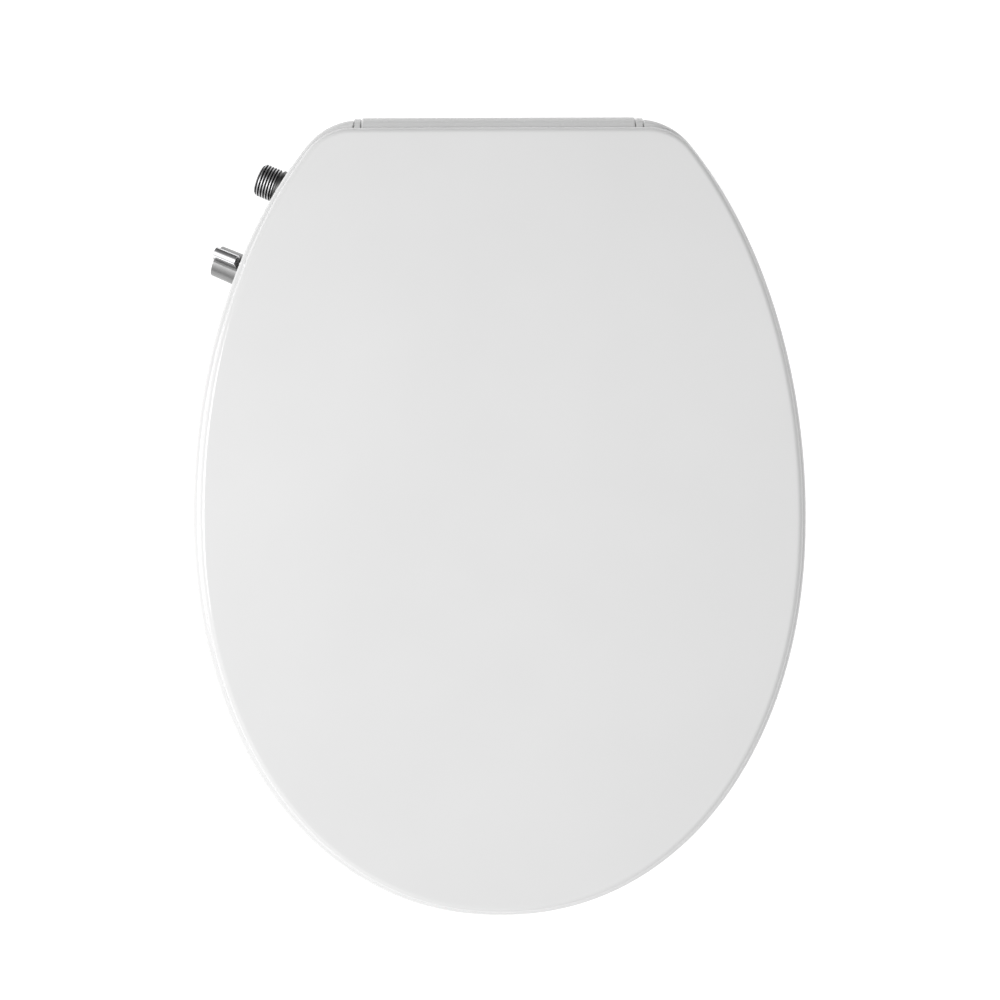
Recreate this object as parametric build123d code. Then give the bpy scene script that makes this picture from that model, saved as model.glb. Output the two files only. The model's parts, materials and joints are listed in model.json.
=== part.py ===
"""Non-electric bidet seat: slim base with a water valve and two retracting nozzles, hinged seat ring and lid.

Frame, in millimetres: the origin is midway between the two bowl bolts, on the plane of the bowl's rim.
+X is to the right when standing behind the bowl's hinge line and looking down with the hinge at the top,
+Y points to the rear (the hinge side), and +Z is up. Lid and seat are closed, and the nozzles are drawn in.
"""

import os
from math import cos, pi, radians, sin

from build123d import *

# ---------------------------------------------------------------- driving dimensions

BOLT_SPACING = 155.0          # between the two bowl bolts
HINGE_Y, HINGE_Z = 35.5, 39.5
BAR_RADIUS, BAR_HALF = 9.5, 83.5
DAMPER_RADIUS, DAMPER_LENGTH = 7.0, 42.0
FAR = 600.0                   # beyond the object in every direction
RUN = 0.05                    # radial clearance of a running fit
GAP = 0.45                    # side clearance between hinge parts

SEAT_HALF_WIDTH = 187.1
SEAT_WIDEST_Y, SEAT_FRONT_Y, SEAT_REAR_Y = -198.8, -443.1, 43.1
SEAT_CORNER, SEAT_TOP_FILLET = 42.0, 5.0
SEAT_BOTTOM_Z, SEAT_TOP_Z = 12.0, HINGE_Z + BAR_RADIUS
SEAT_WALL, SEAT_ROOF = 2.8, 3.2
OPENING_HALF_WIDTH, OPENING_WIDEST_Y = 104.0, -214.0
OPENING_FRONT_Y, OPENING_REAR_Y = -366.0, -97.0
OPENING_FILLET = 8.0

LID_INSET = 3.2               # the lid's outline lies this far inside the seat's
LID_REAR_INSET = 1.4          # and this far at the rear end of its curve
LID_REAR_Y, LID_CORNER, LID_EDGE_FILLET = 36.5, 34.0, 3.2
LID_BOTTOM_Z, LID_TOP_Z = SEAT_TOP_Z + 1.0, 59.5
LID_CROWN_RADIUS = 9600.0
LID_WALL, LID_SKIN_Z = 2.6, 54.3
LID_SOLID_BAND = 22.0         # the rear of the lid is solid over this depth

FRONT_POWER = 2.12            # super-ellipse power of the front half of the outlines
REAR_SEMI_LENGTH = 289.8      # semi-axis of the rear half, which is cut off at the hinge

BASE_BOTTOM_Z, BASE_SEAM_Z, BASE_TOP_Z = 2.0, 24.0, 28.5
BASE_WALL, BASE_FLOOR, BASE_ROOF = 2.4, 2.6, 2.4
BASE_REAR_Y, BASE_FRONT_Y, WING_FRONT_Y = 44.0, -66.0, -92.0

FITTING_ANGLE = 23.0          # both fittings point out to the side and this far to the rear
FITTING_Z = 15.0
SIDE_DISTANCE = 117.0         # from the origin to the slanted side face that carries the fittings
INLET_ALONG, KNOB_ALONG = 46.9, 104.6
THREAD_RADIUS = 10.4775       # G 1/2, crest diameter 20.955
BORE_RADIUS = 6.0
INLET_END, KNOB_END = 143.3, 148.1   # how far the two fittings reach from the origin
LEVER_LEAN = 10.0             # degrees that the knob's lever leans to the rear when the water is off

NOZZLE_SLOPE = 25.0
NOZZLE_X = 9.5
NOZZLE_Y, NOZZLE_Z = -84.0, -6.0   # where the nozzle axis meets the front of its barrel
BARREL_LENGTH, BARREL_RADIUS, BARREL_BORE = 55.0, 7.0, 5.8
STEM_RADIUS = 4.0

# ---------------------------------------------------------------- small helpers


def axis_plane(origin, direction, x_dir=None):
    return Plane(origin=origin, x_dir=x_dir, z_dir=direction)


def rod(plane, radius, start, end):
    """A cylinder about the plane's normal, from one height along it to another."""
    return plane * Pos(0, 0, (start + end) / 2) * Cylinder(radius, end - start)


def tube(plane, outer, inner, start, end):
    return rod(plane, outer, start, end) - rod(plane, inner, start - 1, end + 1)


def block(x0, x1, y0, y1, z0, z1):
    return Pos((x0 + x1) / 2, (y0 + y1) / 2, (z0 + z1) / 2) * Box(x1 - x0, y1 - y0, z1 - z0)


def side_profile(points, half_width):
    """A prism across X whose side view is the given (y, z) outline."""
    corners = [(-half_width, y, z) for y, z in points]
    return extrude(make_face(Polyline(corners, close=True)), 2 * half_width, dir=(1, 0, 0))


def egg_half(half_width, widest_y, end_y, power, steps=9):
    """Points along one super-ellipse half, from the right of the widest line to its left."""
    points = []
    for i in range(2 * steps + 1):
        turn = pi * i / (2 * steps)
        x = half_width * abs(cos(turn)) ** (2 / power)
        points.append((x if turn <= pi / 2 else -x, widest_y + (end_y - widest_y) * sin(turn) ** (2 / power)))
    return points


def egg(half_width, widest_y, front_y, rear_y, front_power=2.0, rear_power=2.0):
    """Closed smooth outline made of two super-ellipse halves that meet at the widest line."""
    front = egg_half(half_width, widest_y, front_y, front_power)
    rear = egg_half(half_width, widest_y, rear_y, rear_power)
    return make_face(Spline(front + rear[-2:0:-1], periodic=True))


def seat_outline(inset, rear_inset=None):
    rear_inset = inset if rear_inset is None else rear_inset
    return egg(
        SEAT_HALF_WIDTH - inset,
        SEAT_WIDEST_Y,
        SEAT_FRONT_Y + inset,
        SEAT_WIDEST_Y + REAR_SEMI_LENGTH - rear_inset,
        front_power=FRONT_POWER,
    )


def slab(face, bottom, top, taper=0.0):
    return extrude(Pos(0, 0, bottom) * face, top - bottom, taper=taper)


def cut_rear(solid, rear_y):
    """The part of a solid in front of the given line across the hinge side."""
    return solid & block(-FAR, FAR, -FAR, rear_y, -FAR, FAR)


def rear_corner_edges(solid, rear_y):
    """The two upright edges where the curved sides meet the straight rear."""
    at_rear = solid.edges().filter_by_position(Axis.Y, rear_y - 0.01, rear_y + 0.01)
    return at_rear.filter_by(lambda e: e.bounding_box().size.X < 1)


def top_edges(solid, height):
    return solid.edges().filter_by_position(Axis.Z, height - 0.01, height + 0.01)


def end_circle(solid, plane, height):
    """The largest circular edge round a frame's normal at the given height along it."""
    centre = plane.origin + plane.z_dir * height
    circles = solid.edges().filter_by(GeomType.CIRCLE)
    return max(circles.filter_by(lambda e: (e.arc_center - centre).length < 0.05), key=lambda e: e.radius)


def mirror_x(solid):
    return mirror(solid, Plane.YZ)


# ---------------------------------------------------------------- local frames

HINGE = axis_plane((0, HINGE_Y, HINGE_Z), (1, 0, 0), x_dir=(0, 1, 0))

OUT = Vector(-cos(radians(FITTING_ANGLE)), sin(radians(FITTING_ANGLE)), 0)
ALONG = Vector(-sin(radians(FITTING_ANGLE)), -cos(radians(FITTING_ANGLE)), 0)


def at_side(out, along, z=FITTING_Z):
    """Point at a distance out from the origin along the fittings' direction, and along the side face."""
    return OUT * out + ALONG * along + Vector(0, 0, z)


INLET = axis_plane(at_side(0, INLET_ALONG), OUT, x_dir=(0, 0, 1))
LEVER_DIRECTION = Vector(0, 0, cos(radians(LEVER_LEAN))) - ALONG * sin(radians(LEVER_LEAN))
KNOB = axis_plane(at_side(0, KNOB_ALONG), OUT, x_dir=LEVER_DIRECTION)

SLIDE = Vector(0, -cos(radians(NOZZLE_SLOPE)), -sin(radians(NOZZLE_SLOPE)))


def nozzle_frame(x):
    return axis_plane((x, NOZZLE_Y, NOZZLE_Z), SLIDE, x_dir=(1, 0, 0))


parts = {}

# ---------------------------------------------------------------- base housing and cover

BASE_CORNER, WING_CORNER, WING_ROUNDING = 28.0, 14.0, 9.0
WING_INNER_X, WING_ROOT_X = 104.0, 76.0
BOSS_RADIUS, SCREW_RADIUS = 4.0, 1.5
SCREW_PLACES = [(sx * x, y) for sx in (-1, 1) for x, y in ((92, 32), (52, -52), (145, -82))]
PLATE_HALF_X, PLATE_HALF_Y = 92.0, 19.0
POCKET_ROOF_Z, POCKET_WALL = 11.0, 2.0


def base_face(inset=0.0):
    """Outline of the base: straight rear, slanted sides, and two wings that flank the bowl's opening."""
    distance = SIDE_DISTANCE - inset

    def side_x(y):
        return (distance - y * sin(radians(FITTING_ANGLE))) / cos(radians(FITTING_ANGLE))

    rear, wing, front = BASE_REAR_Y - inset, WING_FRONT_Y + inset, BASE_FRONT_Y + inset
    right = [
        (side_x(rear), rear),
        (side_x(wing), wing),
        (WING_INNER_X + inset, wing),
        (WING_ROOT_X + inset, front),
    ]
    corners = right + [(-x, y) for x, y in reversed(right)]
    radii = [BASE_CORNER - inset, WING_CORNER - inset, WING_ROUNDING + inset, WING_ROUNDING + inset]
    return make_face(FilletPolyline(corners, radius=radii + radii[::-1], close=True))


def side_hole(plane, radius):
    return rod(plane, radius, SIDE_DISTANCE - 8, SIDE_DISTANCE + 4)


WALL_HOLE_RADIUS = 8.5
BUTTON_ALONG, BUTTON_RADIUS = 62.0, 6.5
BUTTON_PLACE = at_side(0, BUTTON_ALONG)
BUTTON = axis_plane((-BUTTON_PLACE.X, BUTTON_PLACE.Y, FITTING_Z), (-OUT.X, OUT.Y, 0), x_dir=(0, 0, 1))
SHROUD_HALF, SHROUD_WALL, SHROUD_MOUTH_Y = 21.0, 1.6, -50.0
PEDESTAL_HALF, PEDESTAL_FRONT_Y, PEDESTAL_REAR_Y = 81.0, 28.0, 43.5


def barrel_clearance():
    """Room round the two nozzle barrels."""
    barrels = [rod(nozzle_frame(x), BARREL_RADIUS + 0.4, -BARREL_LENGTH, 0) for x in (-NOZZLE_X, NOZZLE_X)]
    return barrels[0] + barrels[1]


def base_housing():
    """Open tray with a pocket for the mounting plate in its underside."""
    shell = slab(base_face(), BASE_BOTTOM_Z, BASE_SEAM_Z)
    shell -= slab(base_face(BASE_WALL), BASE_BOTTOM_Z + BASE_FLOOR, BASE_SEAM_Z)
    pocket_x, pocket_y = PLATE_HALF_X + 1, PLATE_HALF_Y + 1
    out_x, out_y = pocket_x + POCKET_WALL, pocket_y + POCKET_WALL
    shell += block(-out_x, out_x, -out_y, out_y, BASE_BOTTOM_Z, POCKET_ROOF_Z + POCKET_WALL)
    shell -= block(-pocket_x, pocket_x, -pocket_y, pocket_y, -1, POCKET_ROOF_Z)
    for plane, radius in ((INLET, WALL_HOLE_RADIUS), (KNOB, WALL_HOLE_RADIUS), (BUTTON, BUTTON_RADIUS + 0.4)):
        shell -= side_hole(plane, radius)
    mouth = SHROUD_HALF - SHROUD_WALL
    shell -= block(-mouth, mouth, BASE_FRONT_Y - 2, SHROUD_MOUTH_Y, -5, BASE_SEAM_Z + 1)
    shell -= barrel_clearance()
    for x, y in SCREW_PLACES:
        shell -= Pos(x, y, 0) * rod(Plane.XY, SCREW_RADIUS, 0, 10)
    return shell


def base_top_cover():
    """Cover with the hinge bar on a pedestal; the bar is bored at both ends for the two dampers."""
    cover = slab(base_face(), BASE_SEAM_Z, BASE_TOP_Z)
    cover = fillet(top_edges(cover, BASE_TOP_Z), 2.0)
    cover -= slab(base_face(BASE_WALL), BASE_SEAM_Z, BASE_TOP_Z - BASE_ROOF)
    cover += block(-PEDESTAL_HALF, PEDESTAL_HALF, PEDESTAL_FRONT_Y, PEDESTAL_REAR_Y, BASE_TOP_Z, HINGE_Z - 3)
    cover += fillet(rod(HINGE, BAR_RADIUS, -BAR_HALF, BAR_HALF).edges(), 1.2)
    for side in (-1, 1):
        cover -= rod(HINGE, DAMPER_RADIUS, *sorted((side * (BAR_HALF + 1), side * (BAR_HALF - DAMPER_LENGTH))))
    boss = tube(Plane.XY, BOSS_RADIUS, SCREW_RADIUS, BASE_BOTTOM_Z + BASE_FLOOR, BASE_TOP_Z - 2)
    for x, y in SCREW_PLACES:
        cover += Pos(x, y, 0) * boss
    return cover


# ---------------------------------------------------------------- hinge dampers and their shafts

SHAFT_RADIUS, SHAFT_FLAT, JOURNAL_RADIUS = 4.0, 2.8, 2.6
SHAFT_INNER = BAR_HALF - 18.0
KNUCKLE_IN, KNUCKLE_OUT = BAR_HALF + GAP, BAR_HALF + GAP + 4.3
EAR_IN = KNUCKLE_OUT + GAP
SHAFT_END = EAR_IN + 8.0
BUSH_RADIUS = 5.0


def damper(side):
    inner, outer = sorted((side * (BAR_HALF - DAMPER_LENGTH), side * BAR_HALF))
    hole = sorted((side * (SHAFT_INNER - 0.5), side * (BAR_HALF + 1)))
    return rod(HINGE, DAMPER_RADIUS, inner, outer) - rod(HINGE, SHAFT_RADIUS + RUN, *hole)


def flatted(start, end):
    """A length of shaft with two flats, which drives the part that it passes through."""
    between_flats = block(-FAR, FAR, HINGE_Y - SHAFT_FLAT, HINGE_Y + SHAFT_FLAT, 0, 2 * HINGE_Z)
    return rod(HINGE, SHAFT_RADIUS, start, end) & between_flats


def seat_damper_shaft():
    round_part = rod(HINGE, SHAFT_RADIUS, -EAR_IN, -SHAFT_INNER)
    return round_part + flatted(-SHAFT_END, -EAR_IN)


def lid_damper_shaft():
    shaft = rod(HINGE, SHAFT_RADIUS, SHAFT_INNER, KNUCKLE_IN) + flatted(KNUCKLE_IN, KNUCKLE_OUT)
    return shaft + rod(HINGE, JOURNAL_RADIUS, KNUCKLE_OUT, SHAFT_END)


parts["base_housing"] = base_housing()
parts["base_top_cover"] = base_top_cover()
parts["seat_damper"] = damper(-1)
parts["lid_damper"] = damper(1)
parts["seat_damper_shaft"] = seat_damper_shaft()
parts["lid_damper_shaft"] = lid_damper_shaft()

# ---------------------------------------------------------------- seat

UNDERSIDE_STEP = [(60, 30.0), (-98, 30.0), (-134, SEAT_BOTTOM_Z), (-460, SEAT_BOTTOM_Z)]
CAVITY_REAR_Y = 20.0
UNDERSIDE_THICKNESS, UNDERSIDE_RECESS = 3.0, 0.6


def opening_outline(grow):
    return egg(
        OPENING_HALF_WIDTH + grow,
        OPENING_WIDEST_Y,
        OPENING_FRONT_Y - grow,
        OPENING_REAR_Y + grow,
        front_power=2.2,
        rear_power=2.3,
    )


def below_step(lift):
    """Everything below the seat's stepped underside, raised by the given height."""
    chain = [(y, z + lift) for y, z in UNDERSIDE_STEP]
    return side_profile(chain + [(chain[-1][0], -20), (chain[0][0], -20)], FAR)


def seat_body():
    body = cut_rear(slab(seat_outline(0), 0, SEAT_TOP_Z), SEAT_REAR_Y)
    body = fillet(rear_corner_edges(body, SEAT_REAR_Y), SEAT_CORNER)
    body = fillet(top_edges(body, SEAT_TOP_Z), SEAT_TOP_FILLET)
    hole = slab(opening_outline(0), -5, SEAT_TOP_Z + 5)
    body -= hole
    inner_rim = top_edges(body, SEAT_TOP_Z).filter_by(lambda e: e.bounding_box().max.Y < OPENING_REAR_Y + 1)
    body = fillet(inner_rim.filter_by(lambda e: e.bounding_box().min.Y > OPENING_FRONT_Y - 1), OPENING_FILLET)
    return body - below_step(0)


def ear_rounding():
    """What is cut from below the seat's rear edge so that it can turn about the hinge axis."""
    behind = block(-FAR, FAR, HINGE_Y, FAR, -FAR, HINGE_Z)
    return behind - rod(HINGE, BAR_RADIUS, -FAR - 1, FAR + 1)


def seat_cavity():
    inside = slab(seat_outline(SEAT_WALL), 0, SEAT_TOP_Z - SEAT_ROOF)
    return cut_rear(inside - slab(opening_outline(SEAT_WALL), -1, SEAT_TOP_Z), CAVITY_REAR_Y)


def seat_ring():
    ring = seat_body() - ear_rounding()
    ring -= block(-EAR_IN, EAR_IN, HINGE_Y - BAR_RADIUS - 1.0, FAR, 0, FAR)
    ring -= seat_cavity()
    ring -= flatted(-SHAFT_END, -EAR_IN + 1)
    ring -= rod(HINGE, BUSH_RADIUS, EAR_IN - 1, SHAFT_END + 0.5)
    return ring


def seat_underside():
    band = below_step(UNDERSIDE_RECESS + UNDERSIDE_THICKNESS) - below_step(UNDERSIDE_RECESS)
    return seat_cavity() & band


def seat_bumpers():
    """Four rubber feet between the seat's underside and the bowl's rim."""
    height = SEAT_BOTTOM_Z + UNDERSIDE_RECESS
    shape = fillet(Box(46, 15, height).edges().filter_by(Axis.Z), 7.0)
    shape = chamfer(shape.edges().group_by(Axis.Z)[0], 1.5)
    feet = [Pos(x, y, height / 2) * Rot(0, 0, turn) * shape for x, y, turn in ((138, -160, 78), (104, -338, 38))]
    return feet + [mirror_x(foot) for foot in feet]


parts["seat_ring"] = seat_ring()
parts["seat_underside"] = seat_underside()
parts["seat_bumpers"] = seat_bumpers()
parts["seat_ear_bush"] = tube(HINGE, BUSH_RADIUS, JOURNAL_RADIUS + RUN, EAR_IN, SHAFT_END)

# ---------------------------------------------------------------- lid

KNUCKLE_RADIUS = 9.0


def lid_slab(inset, bottom, top):
    outline = seat_outline(LID_INSET + inset, LID_REAR_INSET + inset)
    return cut_rear(slab(outline, bottom, top), LID_REAR_Y - inset)


def lid_knuckle(side):
    start, end = sorted((side * KNUCKLE_IN, side * KNUCKLE_OUT))
    neck = block(start, end, HINGE_Y - 6, LID_REAR_Y, HINGE_Z, LID_SKIN_Z + 1)
    return rod(HINGE, KNUCKLE_RADIUS, start, end) + neck


def lid_shell():
    plate = lid_slab(0, LID_BOTTOM_Z, LID_TOP_Z + 5)
    plate = fillet(rear_corner_edges(plate, LID_REAR_Y), LID_CORNER)
    plate &= Pos(0, SEAT_WIDEST_Y, LID_TOP_Z - LID_CROWN_RADIUS) * Sphere(LID_CROWN_RADIUS)
    plate = fillet(plate.faces().sort_by(Axis.Z)[-1].outer_wire().edges(), LID_EDGE_FILLET)
    plate -= cut_rear(lid_slab(LID_WALL, LID_BOTTOM_Z - 1, LID_SKIN_Z), LID_REAR_Y - LID_SOLID_BAND)
    for side in (-1, 1):
        plate += lid_knuckle(side)
    plate -= rod(HINGE, BUSH_RADIUS, -KNUCKLE_OUT - 1, -KNUCKLE_IN + 1)
    plate -= flatted(KNUCKLE_IN - 1, KNUCKLE_OUT + 1)
    return plate


def lid_bumpers():
    """Four small pads under the lid that rest on the seat ring."""
    pads = []
    for x, y in ((136, -120), (98, -345)):
        pad = rod(Plane.XY, 7.5, LID_BOTTOM_Z - 0.6, LID_SKIN_Z)
        pad = Pos(x, y, 0) * chamfer(pad.edges().group_by(Axis.Z)[0], 0.8)
        pads += [pad, mirror_x(pad)]
    return pads


parts["lid_shell"] = lid_shell()
parts["lid_bumpers"] = lid_bumpers()
parts["lid_knuckle_bush"] = tube(HINGE, BUSH_RADIUS, SHAFT_RADIUS + RUN, -KNUCKLE_OUT, -KNUCKLE_IN)

# ---------------------------------------------------------------- water inlet

INNER_FACE = SIDE_DISTANCE - BASE_WALL
SPIGOT_END = 102.0
SEAL_THICKNESS = 1.5
COLLAR_END, UNDERCUT = 130.3, 1.0
COLLAR_RADIUS, THREAD_CHAMFER = THREAD_RADIUS + 0.35, 1.3


def inlet_connector():
    """Threaded inlet: spigot through the wall, collar outside it, and the G 1/2 thread as its crest cylinder."""
    face = SIDE_DISTANCE + SEAL_THICKNESS
    body = rod(INLET, WALL_HOLE_RADIUS, SPIGOT_END, face)
    body += rod(INLET, COLLAR_RADIUS, face, COLLAR_END)
    body += rod(INLET, THREAD_RADIUS - 1.2, COLLAR_END, COLLAR_END + UNDERCUT)
    thread = rod(INLET, THREAD_RADIUS, COLLAR_END + UNDERCUT, INLET_END)
    thread = chamfer(end_circle(thread, INLET, INLET_END), THREAD_CHAMFER)
    return body + thread - rod(INLET, BORE_RADIUS, SPIGOT_END - 1, INLET_END + 1)


def inlet_filter():
    cup = rod(INLET, BORE_RADIUS, INLET_END - 14, INLET_END - 1.5)
    return cup - rod(INLET, BORE_RADIUS - 0.8, INLET_END - 13, INLET_END)


def slotted_nut(plane, outer, inner, start, end):
    nut = tube(plane, outer, inner, start, end)
    for i in range(6):
        slot = plane * Rot(0, 0, 60 * i) * Pos(outer, 0, (start + end) / 2) * Box(2.4, 3.0, end - start + 2)
        nut -= slot
    return nut


parts["inlet_connector"] = inlet_connector()
parts["inlet_filter"] = inlet_filter()
parts["inlet_seal"] = tube(INLET, THREAD_RADIUS, WALL_HOLE_RADIUS, SIDE_DISTANCE, SIDE_DISTANCE + SEAL_THICKNESS)
parts["inlet_lock_nut"] = slotted_nut(INLET, 10.2, WALL_HOLE_RADIUS, INNER_FACE - 6, INNER_FACE)

# ---------------------------------------------------------------- valve and knob

VALVE_REAR, VALVE_RADIUS = 84.0, 9.4
BONNET_END = SIDE_DISTANCE + 2.0
SPINDLE_RADIUS, SPINDLE_FLAT = 3.5, 2.6
DISC_RADIUS, DISC_START, DISC_TOP = 5.8, VALVE_REAR + 7.4, VALVE_REAR + 10.4
KNOB_INNER_RADIUS, KNOB_OUTER_RADIUS = 10.35, 9.8
ESCUTCHEON_END, KNOB_START = BONNET_END + 2.0, BONNET_END + 2.5
LEVER_START, LEVER_HEIGHT, LEVER_HALF, LEVER_ROUNDING = KNOB_END - 14.5, 19.0, 3.3, 2.9
KNOB_SOCKET = KNOB_START + 15.0
SCREW_HEAD_RADIUS, SCREW_HEAD_DEPTH, SCREW_SHANK_RADIUS = 3.4, 3.5, 2.0


def valve_body():
    body = rod(KNOB, VALVE_RADIUS, VALVE_REAR, INNER_FACE)
    body += rod(KNOB, WALL_HOLE_RADIUS, INNER_FACE, BONNET_END)
    body -= rod(KNOB, DISC_RADIUS + 0.4, VALVE_REAR + 4, VALVE_REAR + 20)
    return body - rod(KNOB, SPINDLE_RADIUS + RUN, VALVE_REAR + 10, BONNET_END + 1)


def valve_spindle():
    """Disc and stem; the stem's outer end has two flats that drive the knob."""
    disc = rod(KNOB, DISC_RADIUS, DISC_START, DISC_TOP)
    flats_start = KNOB_START + 4
    between_flats = KNOB * Pos(0, 0, (flats_start + KNOB_SOCKET) / 2)
    between_flats *= Box(2 * SPINDLE_FLAT, 20, KNOB_SOCKET - flats_start)
    upper = rod(KNOB, SPINDLE_RADIUS, flats_start, KNOB_SOCKET) & between_flats
    return disc + rod(KNOB, SPINDLE_RADIUS, DISC_TOP, flats_start) + upper


def control_knob(spindle):
    """Round knob with a straight lever ridge, which points up and a little to the rear when the water is off."""
    middle = KNOB * Pos(0, 0, (KNOB_START + KNOB_END) / 2)
    body = middle * Cone(KNOB_INNER_RADIUS, KNOB_OUTER_RADIUS, KNOB_END - KNOB_START)
    body = fillet(end_circle(body, KNOB, KNOB_END), 0.8)
    body = fillet(end_circle(body, KNOB, KNOB_START), 0.8)
    ridge = Box(LEVER_HEIGHT - 4, 2 * LEVER_HALF, KNOB_END - LEVER_START)
    ridge = KNOB * Pos((LEVER_HEIGHT + 4) / 2, 0, (KNOB_END + LEVER_START) / 2) * ridge
    upper = ridge.edges().filter_by(lambda e: (e.center() - KNOB.origin).dot(LEVER_DIRECTION) > LEVER_HEIGHT - 0.1)
    body += fillet(upper.filter_by(lambda e: abs((e % 0).dot(OUT)) > 0.9), LEVER_ROUNDING)
    body -= rod(KNOB, SCREW_HEAD_RADIUS + 0.1, KNOB_END - SCREW_HEAD_DEPTH, KNOB_END + 1)
    body -= rod(KNOB, SCREW_SHANK_RADIUS, KNOB_SOCKET, KNOB_END)
    return body - spindle


def knob_screw():
    face = KNOB_END - 1.2
    head = rod(KNOB, SCREW_HEAD_RADIUS, KNOB_END - SCREW_HEAD_DEPTH, face)
    head -= KNOB * Pos(0, 0, face) * (Box(4.4, 0.9, 1.6) + Box(0.9, 4.4, 1.6))
    return head + rod(KNOB, SCREW_SHANK_RADIUS, KNOB_SOCKET, KNOB_END - SCREW_HEAD_DEPTH)


spindle = valve_spindle()
parts["valve_body"] = valve_body()
parts["valve_disc"] = rod(KNOB, DISC_RADIUS + 0.4, VALVE_REAR + 4, VALVE_REAR + 7) - rod(
    KNOB * Pos(2.8, 0, 0), 1.4, 0, 200
)
parts["valve_spindle"] = spindle
parts["knob_escutcheon"] = tube(KNOB, 10.2, SPINDLE_RADIUS + 0.6, BONNET_END, ESCUTCHEON_END)
parts["control_knob"] = control_knob(spindle)
parts["knob_screw"] = knob_screw()

# ---------------------------------------------------------------- water tubes inside the base

SUPPLY_RADIUS, WASH_RADIUS = 4.0, 3.0
WASH_HEIGHTS = (FITTING_Z - 3.6, FITTING_Z + 3.6)
MANIFOLD_HALF, MANIFOLD_REAR_Y, MANIFOLD_FRONT_Y = 17.0, -24.0, -36.0
MANIFOLD_MID_Y = (MANIFOLD_REAR_Y + MANIFOLD_FRONT_Y) / 2


def pipe(points, radius, bends, bore):
    path = FilletPolyline(points, radius=bends)
    start = Plane(origin=path @ 0, z_dir=path % 0)
    return sweep(start * Circle(radius), path=path) - sweep(start * Circle(bore), path=path)


def supply_tube():
    port = KNOB_ALONG - VALVE_RADIUS + 0.6
    points = [at_side(SPIGOT_END, INLET_ALONG), at_side(90, INLET_ALONG), at_side(90, port)]
    return pipe(points, SUPPLY_RADIUS, 9.0, SUPPLY_RADIUS - 1.0) - rod(KNOB, VALVE_RADIUS, VALVE_REAR, INNER_FACE)


def wash_tube(z):
    points = [
        at_side(VALVE_REAR, KNOB_ALONG, z),
        at_side(VALVE_REAR - 16, KNOB_ALONG, z),
        Vector(-72, MANIFOLD_MID_Y, z),
        Vector(-MANIFOLD_HALF, MANIFOLD_MID_Y, z),
    ]
    return pipe(points, WASH_RADIUS, [10.0, 16.0], WASH_RADIUS - 0.8)


parts["supply_tube"] = supply_tube()
for name, height in zip(("wash_tube_lower", "wash_tube_upper"), WASH_HEIGHTS):
    parts[name] = wash_tube(height)

# ---------------------------------------------------------------- nozzles, shroud and guard

PISTON_LENGTH, COLLAR_LENGTH, NOZZLE_TRAVEL = 5.0, 6.0, 34.0
PISTON_START = -BARREL_LENGTH + 4.0
STEM_END = 2.5
TIP_LENGTH = 10.0
SPRING_COILS, SPRING_WIRE = 8, 0.5


def nozzle_block():
    """Manifold and the two sloping barrels that the nozzles slide in."""
    body = block(-MANIFOLD_HALF, MANIFOLD_HALF, MANIFOLD_FRONT_Y, MANIFOLD_REAR_Y, 8.0, 24.5)
    for x in (-NOZZLE_X, NOZZLE_X):
        body += rod(nozzle_frame(x), BARREL_RADIUS, -BARREL_LENGTH, 0)
    middle = nozzle_frame(0)
    body += middle * Pos(0, 0, -BARREL_LENGTH / 2) * Box(2 * NOZZLE_X, 3.0, BARREL_LENGTH)
    for x in (-NOZZLE_X, NOZZLE_X):
        body -= rod(nozzle_frame(x), BARREL_BORE, -BARREL_LENGTH + 3, -COLLAR_LENGTH)
        body -= rod(nozzle_frame(x), STEM_RADIUS + RUN, -COLLAR_LENGTH - 1, 1)
    for z in WASH_HEIGHTS:
        port = axis_plane((-MANIFOLD_HALF, MANIFOLD_MID_Y, z), (1, 0, 0))
        body -= rod(port, WASH_RADIUS - 0.8, -1, 5)
    return body


def nozzle(x):
    frame = nozzle_frame(x)
    piston = rod(frame, BARREL_BORE - RUN, PISTON_START, PISTON_START + PISTON_LENGTH)
    stem = rod(frame, STEM_RADIUS, PISTON_START + PISTON_LENGTH, STEM_END - TIP_LENGTH)
    return piston + stem - rod(frame, 2.0, PISTON_START - 1, STEM_END)


def nozzle_tip(x, holes):
    """Spray tip: a rounded plug with a row of jet holes on its upper side."""
    frame = nozzle_frame(x)
    tip = rod(frame, STEM_RADIUS, STEM_END - TIP_LENGTH, STEM_END)
    tip = fillet(end_circle(tip, frame, STEM_END), 1.8)
    tip -= rod(frame, 2.0, STEM_END - TIP_LENGTH - 1, STEM_END - 3)
    up = frame.y_dir if frame.y_dir.Z > 0 else frame.y_dir * -1
    for i in range(holes):
        centre = frame.origin + SLIDE * (STEM_END - 5.0) + Vector((i - (holes - 1) / 2) * 1.7, 0, 0)
        tip -= rod(axis_plane(centre, up), 0.5, 0, 6)
    return tip


def nozzle_spring(x):
    """Return spring round the stem, between the piston and the barrel's collar."""
    start, end = PISTON_START + PISTON_LENGTH + 0.7, -COLLAR_LENGTH - 0.7
    radius = (BARREL_BORE + STEM_RADIUS) / 2
    coil = Helix(pitch=(end - start) / SPRING_COILS, height=end - start, radius=radius)
    wire = sweep(Plane(origin=coil @ 0, z_dir=coil % 0) * Circle(SPRING_WIRE), path=coil, is_frenet=True)
    return nozzle_frame(x) * Pos(0, 0, start) * wire


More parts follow.
